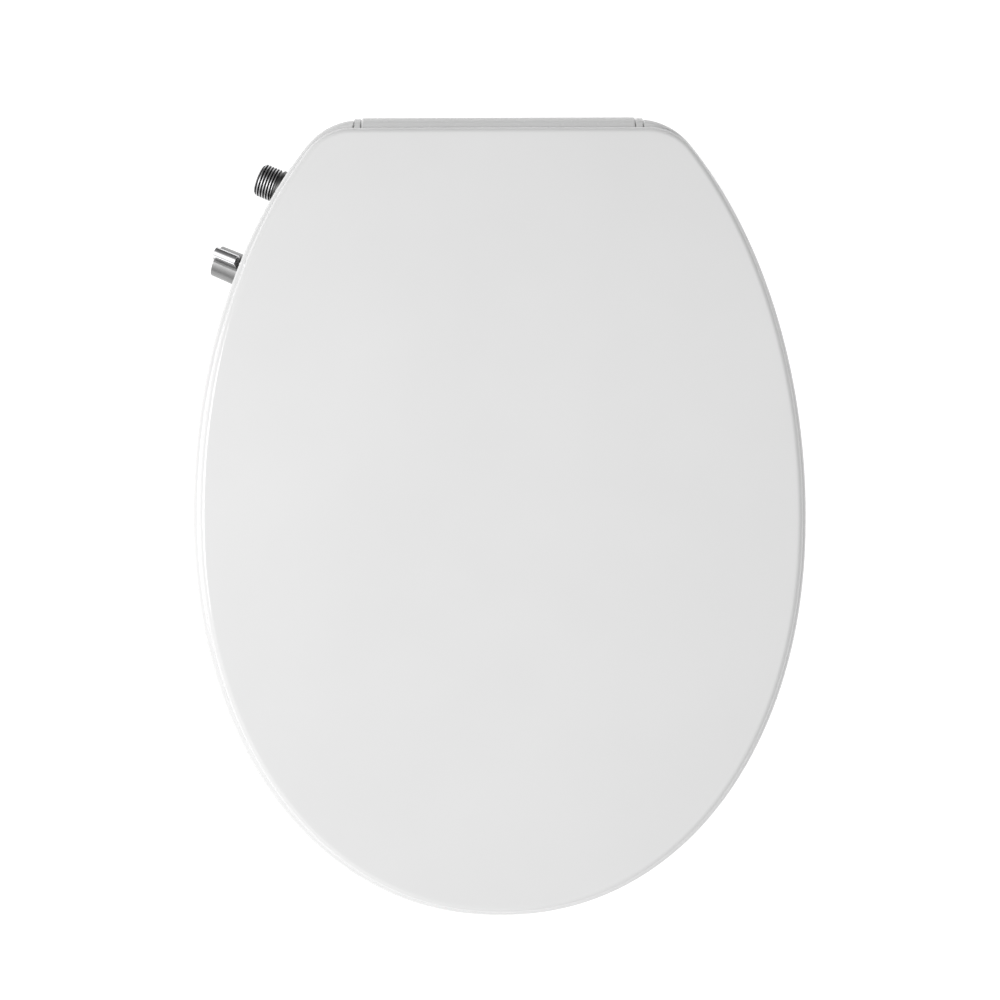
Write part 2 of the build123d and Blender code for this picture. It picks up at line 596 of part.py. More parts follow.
SHROUD_FRONT_Y, SHROUD_BOTTOM_Z, SHROUD_TOP_Z = -88.0, -19.0, 22.0
GUARD_PIVOT_Y, GUARD_PIVOT_Z = SHROUD_FRONT_Y - 2.2, 11.0
GUARD_PIVOT = axis_plane((0, GUARD_PIVOT_Y, GUARD_PIVOT_Z), (1, 0, 0))
GUARD_PIN_RADIUS, GUARD_SIDE_GAP = 1.2, 3.4
NOTCH_HALF, NOTCH_TOP_Z = 6.4, 0.0


def nozzle_shroud():
    """Hood below the front of the base that shields the nozzles; its front is open behind the guard."""
    outer = [(BASE_FRONT_Y, SHROUD_TOP_Z), (SHROUD_FRONT_Y, 14), (SHROUD_FRONT_Y, SHROUD_BOTTOM_Z)]
    outer += [(-76, SHROUD_BOTTOM_Z), (-49, -1.5), (-49, BASE_BOTTOM_Z), (BASE_FRONT_Y, BASE_BOTTOM_Z)]
    w = SHROUD_WALL
    inner = [(BASE_FRONT_Y + 20, SHROUD_TOP_Z - w), (BASE_FRONT_Y, SHROUD_TOP_Z - w)]
    inner += [(SHROUD_FRONT_Y - 4, 11), (SHROUD_FRONT_Y - 4, SHROUD_BOTTOM_Z + w)]
    inner += [(-76, SHROUD_BOTTOM_Z + w), (-49 - w, -1.5 + w), (-49 - w, 8), (BASE_FRONT_Y + 20, 8)]
    hood = side_profile(outer, SHROUD_HALF)
    hood -= side_profile(inner, SHROUD_HALF - w)
    for side in (-1, 1):
        lug = block(-1.5, 1.5, GUARD_PIVOT_Y - 3, SHROUD_FRONT_Y, GUARD_PIVOT_Z - 3, GUARD_PIVOT_Z + 3)
        hood += Pos(side * (SHROUD_HALF - 1.5), 0, 0) * lug
    hood -= barrel_clearance()
    return hood - rod(GUARD_PIVOT, GUARD_PIN_RADIUS, -30, 30)


def nozzle_guard():
    """Flap in front of the nozzles, with two notches that they pass through."""
    half = SHROUD_HALF - GUARD_SIDE_GAP
    flap = block(-half, half, GUARD_PIVOT_Y - 1, GUARD_PIVOT_Y + 1, SHROUD_BOTTOM_Z, GUARD_PIVOT_Z)
    flap += rod(GUARD_PIVOT, 2.0, -half, half)
    flap -= rod(GUARD_PIVOT, GUARD_PIN_RADIUS + RUN, -half - 1, half + 1)
    for x in (-NOZZLE_X, NOZZLE_X):
        low, high = x - NOTCH_HALF, x + NOTCH_HALF
        flap -= block(low, high, GUARD_PIVOT_Y - 4, GUARD_PIVOT_Y + 4, SHROUD_BOTTOM_Z - 1, NOTCH_TOP_Z)
    return flap


parts["nozzle_block"] = nozzle_block()
parts["nozzle_shroud"] = nozzle_shroud()
parts["nozzle_guard"] = nozzle_guard()
parts["guard_pin"] = rod(GUARD_PIVOT, GUARD_PIN_RADIUS, -SHROUD_HALF, SHROUD_HALF)
for name, x, holes in (("rear_nozzle", -NOZZLE_X, 1), ("front_nozzle", NOZZLE_X, 3)):
    parts[name] = nozzle(x)
    parts[name + "_tip"] = nozzle_tip(x, holes)
    parts[name + "_spring"] = nozzle_spring(x)

# ---------------------------------------------------------------- mounting plate, bolts and release button

STUD_RADIUS, NECK_RADIUS, TAIL_RADIUS = 4.0, 4.6, 3.6
CERAMIC = 20.0                # thickness of the bowl's rim between the plate and the washers
BOLT_END_Z = -62.0
PLATE_THICKNESS = 3.0


def at_bolts(make):
    return [Pos(side * BOLT_SPACING / 2, 0, 0) * make() for side in (-1, 1)]


def bolt():
    head = fillet(rod(Plane.XY, 7.5, PLATE_THICKNESS, PLATE_THICKNESS + 3.5).edges().group_by(Axis.Z)[-1], 1.0)
    body = head + rod(Plane.XY, NECK_RADIUS, 0, PLATE_THICKNESS)
    body += rod(Plane.XY, STUD_RADIUS, -CERAMIC, 0)
    tail = rod(Plane.XY, TAIL_RADIUS, BOLT_END_Z, -CERAMIC)
    return body + chamfer(tail.edges().group_by(Axis.Z)[0], 0.8)


def cone_washer():
    """Rubber bush whose cone centres the bolt in the bowl's hole."""
    cone = Pos(0, 0, -CERAMIC - 6) * Cone(12.0, 8.5, 12.0)
    return cone - rod(Plane.XY, TAIL_RADIUS, -CERAMIC - 20, 0)


def wing_nut():
    top = -CERAMIC - 12.0
    nut = rod(Plane.XY, 9.0, top - 12, top)
    wing = Pos(0, 0, top - 7) * Box(34, 4.0, 10)
    nut += fillet(wing.edges().filter_by(Axis.Y), 3.0)
    return nut - rod(Plane.XY, TAIL_RADIUS, top - 20, top + 1)


def mounting_plate():
    plate = block(-PLATE_HALF_X, PLATE_HALF_X, -PLATE_HALF_Y, PLATE_HALF_Y, 0, PLATE_THICKNESS)
    plate = fillet(plate.edges().filter_by(Axis.Z), 6.0)
    for hole in at_bolts(lambda: rod(Plane.XY, NECK_RADIUS, -1, PLATE_THICKNESS + 1)):
        plate -= hole
    return plate


BUTTON_FACE, BUTTON_INNER, BUTTON_TRAVEL = SIDE_DISTANCE + 3.2, SIDE_DISTANCE - 4.0, 3.0
SPRING_SEAT = BUTTON_INNER - 9.0


def release_button():
    cap = rod(BUTTON, BUTTON_RADIUS, BUTTON_INNER, BUTTON_FACE)
    cap = fillet(end_circle(cap, BUTTON, BUTTON_FACE), 1.2)
    return cap + rod(BUTTON, 2.0, SPRING_SEAT + 4.2, BUTTON_INNER)


def release_spring():
    coil = Helix(pitch=2.0, height=BUTTON_INNER - SPRING_SEAT - 1.2, radius=4.0)
    wire = sweep(Plane(origin=coil @ 0, z_dir=coil % 0) * Circle(0.45), path=coil, is_frenet=True)
    return BUTTON * Pos(0, 0, SPRING_SEAT + 0.6) * wire


def release_bracket():
    """Post behind the release button that its spring pushes against."""
    floor, top = BASE_BOTTOM_Z + BASE_FLOOR, FITTING_Z + 7
    return BUTTON * Pos((floor + top) / 2 - FITTING_Z, 0, SPRING_SEAT - 1.5) * Box(top - floor, 14, 3)


def base_screws():
    screws = []
    for x, y in SCREW_PLACES:
        head = rod(Plane.XY, 3.2, BASE_BOTTOM_Z - 1.8, BASE_BOTTOM_Z)
        head -= Pos(0, 0, BASE_BOTTOM_Z - 1.8) * (Box(4, 0.8, 1.6) + Box(0.8, 4, 1.6))
        shank = rod(Plane.XY, SCREW_RADIUS, BASE_BOTTOM_Z, BASE_BOTTOM_Z + 16)
        screws.append(Pos(x, y, 0) * (head + shank))
    return screws


def base_pads():
    """Four rubber pads that the base stands on."""
    pads = []
    for x, y in ((100, -52), (128, -82), (60, -42), (70, 32)):
        for side in (-1, 1):
            pad = fillet(Box(22, 12, BASE_BOTTOM_Z).edges().filter_by(Axis.Z), 4.0)
            pads.append(Pos(side * x, y, BASE_BOTTOM_Z / 2) * pad)
    return pads


parts["mounting_plate"] = mounting_plate()
parts["bowl_bolts"] = at_bolts(bolt)
parts["cone_washers"] = at_bolts(cone_washer)
parts["wing_nuts"] = at_bolts(wing_nut)
parts["release_button"] = release_button()
parts["release_spring"] = release_spring()
parts["release_bracket"] = release_bracket()
parts["base_screws"] = base_screws()
parts["base_pads"] = base_pads()

# ---------------------------------------------------------------- writing the parts

os.makedirs("parts", exist_ok=True)
for name, shape in parts.items():
    pieces = shape if isinstance(shape, list) else [shape]
    solids = [solid for piece in pieces for solid in piece.solids()]
    export_step(Compound(solids) if len(solids) > 1 else solids[0], f"parts/{name}.step")
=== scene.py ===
"""Visual model of a slim bidet seat, seen from straight above: lid, seat ring, base, inlet and knob.

Everything is in metres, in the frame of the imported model: +Y to the hinge side, +Z up.
"""

import json
from math import atan2, cos, pi, radians, sin

import bmesh
import bpy
import numpy as np
from mathutils import Matrix, Vector


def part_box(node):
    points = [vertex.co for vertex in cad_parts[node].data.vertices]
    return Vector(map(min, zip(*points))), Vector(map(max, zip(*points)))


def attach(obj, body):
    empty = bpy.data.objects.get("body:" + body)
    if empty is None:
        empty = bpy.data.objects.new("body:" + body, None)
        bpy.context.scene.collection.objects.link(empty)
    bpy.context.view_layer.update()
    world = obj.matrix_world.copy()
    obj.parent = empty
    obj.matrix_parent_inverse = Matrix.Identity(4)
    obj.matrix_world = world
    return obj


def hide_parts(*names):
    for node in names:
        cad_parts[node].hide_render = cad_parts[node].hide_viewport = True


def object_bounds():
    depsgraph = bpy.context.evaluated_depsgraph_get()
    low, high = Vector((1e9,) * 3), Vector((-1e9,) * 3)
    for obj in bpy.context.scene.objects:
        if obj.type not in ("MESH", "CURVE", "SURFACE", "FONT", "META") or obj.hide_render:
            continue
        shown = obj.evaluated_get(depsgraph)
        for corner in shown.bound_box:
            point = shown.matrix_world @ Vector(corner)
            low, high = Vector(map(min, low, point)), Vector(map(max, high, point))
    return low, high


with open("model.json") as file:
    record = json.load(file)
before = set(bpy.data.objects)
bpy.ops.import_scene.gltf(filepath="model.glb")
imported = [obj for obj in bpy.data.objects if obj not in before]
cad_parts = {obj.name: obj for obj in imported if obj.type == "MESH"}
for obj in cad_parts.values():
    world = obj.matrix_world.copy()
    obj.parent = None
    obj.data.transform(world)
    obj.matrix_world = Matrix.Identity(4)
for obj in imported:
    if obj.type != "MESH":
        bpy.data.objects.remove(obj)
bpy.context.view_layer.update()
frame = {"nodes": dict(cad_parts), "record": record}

MM = 0.001

# ---------------------------------------------------------------- sizes, from the frame where it has them

JOINTS = {joint["name"]: joint for joint in frame["record"]["behaviour"]["joints"]}
MOUNTS = {mount["name"]: mount for mount in frame["record"]["mounts"]}
HINGE_Y, HINGE_Z = JOINTS["seat_hinge"]["pos_m"][1:]

seat_low, seat_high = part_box("seat_ring")
lid_low, lid_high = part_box("lid_shell")
SEAT_HALF, SEAT_FRONT, SEAT_REAR, SEAT_TOP = seat_high[0], seat_low[1], seat_high[1], seat_high[2]
LID_HALF, LID_FRONT, LID_TOP = lid_high[0], lid_low[1], lid_high[2]
WIDEST_Y = -198.8 * MM
FRONT_POWER = 2.12             # super-ellipse power of the front half of the outlines
REAR_SEMI = 289.8 * MM         # semi-axis of the rear half, which is cut off at the hinge
SEAT_CORNER, LID_CORNER = 42 * MM, 34 * MM
LID_REAR_INSET = 1.4 * MM      # how much shorter the lid's rear semi-axis is
LID_REAR = 36.5 * MM
LID_BOTTOM = SEAT_TOP + 1.0 * MM
EAR_RADIUS = 9.5 * MM
NOTCH_HALF = 88.7 * MM         # half of the notch between the seat's ears, which holds the hinge bar
EDGE = 0.5 * MM                # small rounding of moulded and turned edges

# ---------------------------------------------------------------- mesh helpers


def new_object(name, verts, faces, smooth_angle=35.0):
    mesh = bpy.data.meshes.new(name)
    mesh.from_pydata([tuple(v) for v in verts], [], [tuple(f) for f in faces])
    mesh.validate()
    obj = bpy.data.objects.new(name, mesh)
    bpy.context.scene.collection.objects.link(obj)
    clean(obj, smooth_angle)
    return obj


def clean(obj, smooth_angle=35.0):
    """Merge doubles, drop empty faces, point every normal outward and shade smooth up to the given angle."""
    bm = bmesh.new()
    bm.from_mesh(obj.data)
    bmesh.ops.remove_doubles(bm, verts=bm.verts, dist=2e-6)
    bmesh.ops.dissolve_degenerate(bm, edges=bm.edges, dist=1e-6)
    bmesh.ops.recalc_face_normals(bm, faces=bm.faces)
    for face in bm.faces:
        face.smooth = True
    for edge in bm.edges:
        if len(edge.link_faces) == 2:
            edge.smooth = edge.calc_face_angle(0.0) < radians(smooth_angle)
    bm.to_mesh(obj.data)
    bm.free()
    obj.data.update()


def rings(loops, close_start=None, close_end=None, wrap=False):
    """Faces between equal loops of points; the first and last loops can be closed on a point or joined."""
    count = len(loops[0])
    verts = [p for loop in loops for p in loop]
    faces = []
    pairs = list(zip(range(len(loops) - 1), range(1, len(loops))))
    if wrap:
        pairs.append((len(loops) - 1, 0))
    for a, b in pairs:
        for i in range(count):
            j = (i + 1) % count
            faces.append((a * count + i, a * count + j, b * count + j, b * count + i))
    for centre, ring in ((close_start, 0), (close_end, len(loops) - 1)):
        if centre is not None:
            verts.append(centre)
            for i in range(count):
                faces.append((ring * count + i, ring * count + (i + 1) % count, len(verts) - 1))
    return verts, faces


def revolve(profile, frame_matrix, segments=96):
    """Loops round local Z, one for each radius and height of the profile."""
    loops = []
    for radius, height in profile:
        turns = [2 * pi * i / segments for i in range(segments)]
        loops.append([frame_matrix @ Vector((radius * cos(t), radius * sin(t), height)) for t in turns])
    return loops


def combine(target, tool, operation):
    """Apply an exact boolean with another object, which is then removed."""
    modifier = target.modifiers.new("combine", "BOOLEAN")
    modifier.operation = operation
    modifier.solver = "EXACT"
    modifier.object = tool
    bpy.context.view_layer.update()
    evaluated = target.evaluated_get(bpy.context.evaluated_depsgraph_get())
    result = bpy.data.meshes.new_from_object(evaluated)
    target.modifiers.clear()
    target.data = result
    bpy.data.objects.remove(tool)
    clean(target)


def box_object(low, high):
    corners = [(x, y, z) for x in (low[0], high[0]) for y in (low[1], high[1]) for z in (low[2], high[2])]
    faces = [(0, 1, 3, 2), (4, 6, 7, 5), (0, 4, 5, 1), (2, 3, 7, 6), (0, 2, 6, 4), (1, 5, 7, 3)]
    return new_object("tool", corners, faces)


def cylinder_object(matrix, radius, start, end, segments=64):
    loops = revolve([(radius, start), (radius, end)], matrix, segments)
    return new_object("tool", *rings(loops, matrix @ Vector((0, 0, start)), matrix @ Vector((0, 0, end))))


def frame_at(origin, direction, x_dir):
    z = Vector(direction).normalized()
    x = (Vector(x_dir) - z * Vector(x_dir).dot(z)).normalized()
    y = z.cross(x)
    return Matrix.Translation(origin) @ Matrix((x, y, z)).transposed().to_4x4()


# ---------------------------------------------------------------- outlines


def egg_side(half, widest, front, rear_semi, power):
    """Dense points up the right side: a super-ellipse half in front, an ellipse half behind."""
    turn = np.linspace(0, pi / 2, 600)
    ahead = np.c_[half * np.sin(turn) ** (2 / power), widest + (front - widest) * np.cos(turn) ** (2 / power)]
    behind = np.c_[half * np.cos(turn[1:]), widest + rear_semi * np.sin(turn[1:])]
    return np.r_[ahead, behind]


def cut_side(side, rear, corner):
    """The side up to its straight rear line, with the corner rounded by a tangent arc."""
    low, high = 0.0, side[:, 0].max()
    for _ in range(40):
        middle = (low + high) / 2
        distance = np.hypot(side[:, 0] - middle, side[:, 1] - (rear - corner)).min()
        low, high = (middle, high) if distance > corner else (low, middle)
    centre = np.array([low, rear - corner])
    touch = int(np.argmin(np.hypot(*(side - centre).T)))
    start = atan2(*(side[touch] - centre)[::-1])
    turn = np.linspace(start, pi / 2, 40)[1:]
    arc = centre + corner * np.c_[np.cos(turn), np.sin(turn)]
    return np.r_[side[: touch + 1], arc, [[0.0, rear]]]


def loop_from_side(side, count):
    """Close the outline by mirroring, and space its points evenly, with point 0 at the front."""
    steps = np.r_[0, np.cumsum(np.hypot(*np.diff(side, axis=0).T))]
    places = np.linspace(0, steps[-1], count // 2 + 1)
    right = np.c_[np.interp(places, steps, side[:, 0]), np.interp(places, steps, side[:, 1])]
    left = right[-2:0:-1] * [-1, 1]
    return np.r_[right, left]


def inward(loop):
    """Unit normals of a counter-clockwise loop, pointing into it."""
    tangent = np.roll(loop, -1, axis=0) - np.roll(loop, 1, axis=0)
    tangent /= np.hypot(*tangent.T)[:, None]
    return np.c_[-tangent[:, 1], tangent[:, 0]]


def seat_loop(half, front, rear_semi, rear, corner, count=720):
    side = egg_side(half, WIDEST_Y, front, rear_semi, FRONT_POWER)
    return loop_from_side(cut_side(side, rear, corner), count)


def with_height(loop, z):
    return np.c_[loop, np.broadcast_to(z, len(loop))]


def arc_rows(radius, steps, start=0.0, end=pi / 2):
    """Inset and drop of points round an edge: inset grows as the surface turns from wall to top."""
    rows = []
    for i in range(steps + 1):
        turn = start + (end - start) * i / steps
        rows.append((radius * (1 - cos(turn)), radius * (1 - sin(turn))))
    return rows


# ---------------------------------------------------------------- lid

RIM_HEIGHT, RIM_ROUND = 4.0 * MM, 4.0 * MM
RIM_START = 0.15 * MM          # where the rim's rounding starts, in from the widest line
LID_WALL = 2.6 * MM
LID_SKIN = 54.3 * MM           # height of the lid's inner face
LID_CROWN_RADIUS = 9.6
LID_PAN_REAR = LID_REAR - 22 * MM
PAN_CORNER = 1.6 * MM


def crown_height(points):
    reach = np.hypot(points[:, 0], points[:, 1] - WIDEST_Y)
    return LID_TOP - reach**2 / (2 * LID_CROWN_RADIUS)


def lid_top_rows(outer, normal):
    """Rows up the drafted side, round the rim and over the crown."""
    rows = []
    for inset, height in ((0.5, 0.0), (0.15, 0.12), (0.0, 0.5), (0.1, 1.8)):
        rows.append(with_height(outer + normal * inset * MM, LID_BOTTOM + height * MM))
    for step in range(13):
        turn = (pi / 2) * step / 12
        inset = RIM_START + RIM_ROUND * (1 - cos(turn) ** 1.15)
        loop = outer + normal * inset
        rows.append(with_height(loop, crown_height(loop) - RIM_HEIGHT * (1 - sin(turn) ** 1.05)))
    for inset in (5.2, 7.0, 10.0, 15.0):
        loop = outer + normal * inset * MM
        rows.append(with_height(loop, crown_height(loop)))
    return rows


def shrink_rows(loop, height_of, steps, last=0.03):
    """Rows that shrink a loop evenly towards the middle of the widest line."""
    centre = np.array([0.0, WIDEST_Y])
    rows = []
    for scale in np.linspace(1, last, steps)[1:]:
        smaller = centre + (loop - centre) * scale
        rows.append(with_height(smaller, height_of(smaller)))
    return rows


LID_PLAY = 1.0 * MM            # the lid is this much narrower each side, and sits this far to the right


def make_lid():
    outer = seat_loop(LID_HALF - LID_PLAY, LID_FRONT, REAR_SEMI - LID_REAR_INSET, LID_REAR, LID_CORNER)
    outer[:, 0] += LID_PLAY
    normal = inward(outer)
    top = lid_top_rows(outer, normal)
    top += shrink_rows(top[-1][:, :2], crown_height, 22)

    def pan(inset):
        """Outline of the lid's hollow, whose rear stops short of the solid band at the hinge."""
        loop = outer + normal * inset
        loop[:, 1] = np.minimum(loop[:, 1], LID_PAN_REAR - (inset - LID_WALL))
        return loop

    halfway = LID_BOTTOM + 0.4 * (LID_SKIN - LID_BOTTOM)
    under = [with_height(pan(LID_WALL), LID_BOTTOM), with_height(pan(LID_WALL + 0.2 * MM), halfway)]
    for inset, drop in arc_rows(PAN_CORNER, 5):
        under.append(with_height(pan(LID_WALL + 0.3 * MM + inset), LID_SKIN - drop))
    flat = pan(LID_WALL + 4 * MM)
    under.append(with_height(flat, LID_SKIN))
    under += shrink_rows(flat, lambda loop: LID_SKIN, 10)
    loops = under[::-1] + top
    verts, faces = rings(loops, (0, WIDEST_Y, LID_SKIN), (0, WIDEST_Y, LID_TOP))
    lid = new_object("lid", verts, faces)
    for side in (-1, 1):
        add_knuckle(lid, side)
    return lid


KNUCKLE_RADIUS = 9.0 * MM
KNUCKLE_IN, KNUCKLE_OUT = 83.95 * MM, 88.25 * MM
SHAFT_BORE, BUSH_BORE = 4.0 * MM, 5.0 * MM
PIN_X = frame_at((0, HINGE_Y, HINGE_Z), (1, 0, 0), (0, 1, 0))


def add_knuckle(lid, side):
    """A rounded hinge knuckle under the lid's rear edge, bored for the shaft."""
    low, high = sorted((side * KNUCKLE_IN, side * KNUCKLE_OUT))
    profile = [(KNUCKLE_RADIUS - EDGE, low), (KNUCKLE_RADIUS, low + EDGE)]
    profile += [(KNUCKLE_RADIUS, high - EDGE), (KNUCKLE_RADIUS - EDGE, high)]
    loops = revolve(profile, PIN_X)
    disc = new_object("tool", *rings(loops, PIN_X @ Vector((0, 0, low)), PIN_X @ Vector((0, 0, high))))
    neck_front, neck_rear = HINGE_Y - 6 * MM, LID_REAR - 0.6 * MM
    neck = box_object((low + EDGE, neck_front, HINGE_Z), (high - EDGE, neck_rear, LID_BOTTOM + 1.5 * MM))
    combine(disc, neck, "UNION")
    combine(lid, disc, "UNION")
    bore = BUSH_BORE if side < 0 else SHAFT_BORE
    combine(lid, cylinder_object(PIN_X, bore, low - MM, high + MM), "DIFFERENCE")


# ---------------------------------------------------------------- seat ring

OPENING_Y = -214.0 * MM
OPENING_HALF, OPENING_AHEAD, OPENING_BEHIND = 104.0 * MM, 152.0 * MM, 117.0 * MM
AHEAD_POWER, BEHIND_POWER = 2.2, 2.3
SEAT_ROUND, OPENING_ROUND = 5.0 * MM, 8.0 * MM
SEAT_DRAFT = 1.1 * MM
TOP_BORDER = 12.0 * MM         # flat border of the seat's top, in from its outline
SEAT_WALL = 2.8 * MM
SEAT_ROOF = 45.8 * MM
WALL_FOOT = 0.2 * MM           # how far the inside stands back from the underside's plane
EAR_WIDTH = 8.5 * MM
STEP_HIGH, STEP_LOW = 30.0 * MM, 12.0 * MM
STEP_START, STEP_END = -98.0 * MM, -134.0 * MM
SOLID_FROM, HOLLOW_FROM = 20.0 * MM, 12.0 * MM
INNER_DIP = 2.2 * MM


def bottom_height(y):
    """The stepped underside: high over the base, low ahead of it."""
    return np.interp(y, [STEP_END, STEP_START], [STEP_LOW, STEP_HIGH])


def opening_loop(angles):
    """The opening's outline at the given directions from its middle."""
    turn = np.linspace(0, pi / 2, 500)
    ahead, behind = 2 / AHEAD_POWER, 2 / BEHIND_POWER
    front = np.c_[OPENING_HALF * np.sin(turn) ** ahead, -OPENING_AHEAD * np.cos(turn) ** ahead]
    rear = np.c_[OPENING_HALF * np.cos(turn[1:]) ** behind, OPENING_BEHIND * np.sin(turn[1:]) ** behind]
    side = np.r_[front, rear]
    side_angles = np.arctan2(side[:, 0], -side[:, 1])
    size = np.interp(np.abs(angles), side_angles, np.hypot(*side.T))
    return np.c_[size * np.sin(angles), OPENING_Y - size * np.cos(angles)]


def make_seat_ring():
    outer = seat_loop(SEAT_HALF, SEAT_FRONT, REAR_SEMI, SEAT_REAR, SEAT_CORNER)
    into = inward(outer)
    angles = np.arctan2(outer[:, 0], OPENING_Y - outer[:, 1])
    inner = opening_loop(angles)
    back = -inward(inner)
    outer_bottom, inner_bottom = bottom_height(outer[:, 1]), bottom_height(inner[:, 1])
    rows = [with_height(outer + into * (SEAT_DRAFT + EDGE), outer_bottom)]
    shoulder = SEAT_TOP - SEAT_ROUND
    for share in (0.0, 0.33, 0.66, 1.0):
        height = outer_bottom + EDGE + (shoulder - outer_bottom - EDGE) * share
        rows.append(with_height(outer + into * (1 - share) * SEAT_DRAFT, height))
    for inset, drop in arc_rows(SEAT_ROUND, 8)[1:]:
        rows.append(with_height(outer + into * inset, SEAT_TOP - drop))
    for inset in (6.2 * MM, 7.6 * MM, 9.4 * MM, TOP_BORDER):
        rows.append(with_height(outer + into * inset, SEAT_TOP))
    start, end = outer + into * TOP_BORDER, inner + back * (OPENING_ROUND + 1 * MM)
    for share in np.linspace(0, 1, 14)[1:]:
        rows.append(with_height(start + (end - start) * share, SEAT_TOP - INNER_DIP * share**1.8))
    for inset, drop in arc_rows(OPENING_ROUND, 10)[::-1]:
        rows.append(with_height(inner + back * inset, SEAT_TOP - INNER_DIP - drop))
    lip = SEAT_TOP - INNER_DIP - OPENING_ROUND
    for share in (0.5, 1.0):
        rows.append(with_height(inner, lip + (inner_bottom + EDGE - lip) * share))
    rows.append(with_height(inner + back * EDGE, inner_bottom))
    rows += seat_inside(outer, into, inner, back, outer_bottom, inner_bottom)
    for row in rows:
        round_the_ears(row)
    seat = new_object("seat_ring_shell", *rings(rows, wrap=True))
    far = 80 * MM
    notch = box_object((-NOTCH_HALF, HINGE_Y - EAR_RADIUS - MM, 0), (NOTCH_HALF, far, far))
    combine(seat, notch, "DIFFERENCE")
    for side in (-1, 1):
        low, high = sorted((side * (NOTCH_HALF - MM), side * (NOTCH_HALF + EAR_WIDTH)))
        combine(seat, cylinder_object(PIN_X, BUSH_BORE, low, high), "DIFFERENCE")
    return seat


def seat_inside(outer, into, inner, back, outer_bottom, inner_bottom):
    """Rows up the inside of the shell and across its roof; the rear of the shell is solid."""
    rows = []
    for loop, normal, bottom, heights in (
        (inner, back, inner_bottom, (0.0, 1.0)),
        (outer, into, outer_bottom, (1.0, 0.0)),
    ):
        wall = loop + normal * SEAT_WALL
        hollow = np.clip((SOLID_FROM - wall[:, 1]) / (SOLID_FROM - HOLLOW_FROM), 0, 1)
        for share in heights:
            lowest = bottom + WALL_FOOT
            rows.append(with_height(wall, lowest + (SEAT_ROOF - lowest) * hollow * share))
    return rows


def round_the_ears(row):
    """Behind the hinge axis the seat's underside is round about that axis."""
    behind = np.clip(row[:, 1] - HINGE_Y, 0, None)
    lowest = HINGE_Z - np.sqrt(np.clip(EAR_RADIUS**2 - behind**2, 0, None))
    row[:, 2] = np.where(behind > 0, np.maximum(row[:, 2], lowest), row[:, 2])


# ---------------------------------------------------------------- turned and threaded parts


CREST_SHARE, ROOT_SHARE = 0.34, 0.14     # flat parts of the thread's profile, in pitches


def thread_rows(matrix, root, crest, pitch, start, end, taper_in, taper_out, segments=96, per_turn=10):
    """Loops of a helical thread with flat crests, which run out over the given lengths at both ends."""
    rows = []
    count = int((end - start) / pitch * per_turn)
    for k in range(count + 1):
        height = start + (end - start) * k / count
        full = min(1.0, (height - start) / taper_in, max(0.0, (end - height) / taper_out))
        row = []
        for i in range(segments):
            turn = 2 * pi * i / segments
            phase = ((height / pitch) - turn / (2 * pi)) % 1.0
            ridge = (1 - abs(2 * phase - 1) - ROOT_SHARE) / (1 - CREST_SHARE - ROOT_SHARE)
            radius = root + (crest - root) * min(1.0, max(0.0, ridge)) * full
            row.append(matrix @ Vector((radius * cos(turn), radius * sin(turn), height)))
        rows.append(row)
    return rows


OUT = Vector(MOUNTS["inlet"]["axis"]).normalized()
INLET_POINT = Vector(MOUNTS["inlet"]["pos_m"])
CREST = MOUNTS["inlet"]["dims"]["r_mm"] * MM
INLET = frame_at(INLET_POINT, OUT, (0, 0, 1))
THREAD_PITCH, THREAD_DEPTH = 1.814 * MM, 1.162 * MM      # G 1/2
THREAD_ROOT = CREST - THREAD_DEPTH
THREAD_HALF = MOUNTS["inlet"]["dims"]["length_mm"] * MM / 2
THREAD_CHAMFER, UNDERCUT = 1.3 * MM, 1.0 * MM
INLET_BORE, SPIGOT_RADIUS = 6.0 * MM, 8.5 * MM
COLLAR_RADIUS = CREST + 0.35 * MM
SIDE_FACE, SPIGOT_END = 118.5 * MM, 102.0 * MM           # from the origin, along the fittings' direction


def make_inlet():
    """Threaded inlet with its collar, undercut, wall spigot and bore."""
    reach = INLET_POINT.dot(OUT)
    thread_start, thread_end = -THREAD_HALF, THREAD_HALF + THREAD_CHAMFER
    collar_in, collar_out = SIDE_FACE - reach, thread_start - UNDERCUT
    spigot_end = SPIGOT_END - reach
    inside = revolve([(INLET_BORE, thread_end - 0.3 * MM), (INLET_BORE, spigot_end)], INLET)
    body = [(SPIGOT_RADIUS, spigot_end), (SPIGOT_RADIUS, collar_in)]
    body += [(COLLAR_RADIUS - EDGE, collar_in), (COLLAR_RADIUS, collar_in + EDGE)]
    body += [(COLLAR_RADIUS, collar_out - EDGE), (COLLAR_RADIUS - EDGE, collar_out)]
    body += [(THREAD_ROOT, collar_out), (THREAD_ROOT, thread_start + 0.1 * MM)]
    rows = inside + revolve(body, INLET)
    rows += thread_rows(
        INLET, THREAD_ROOT, CREST, THREAD_PITCH, thread_start + 0.2 * MM, thread_end - 0.5 * MM,
        taper_in=0.4 * MM, taper_out=1.0 * MM, per_turn=20,
    )
    rows += revolve([(THREAD_ROOT - 0.4 * MM, thread_end), (INLET_BORE + 0.3 * MM, thread_end)], INLET)
    return new_object("inlet_thread", *rings(rows, wrap=True), smooth_angle=35)


# ---------------------------------------------------------------- control knob

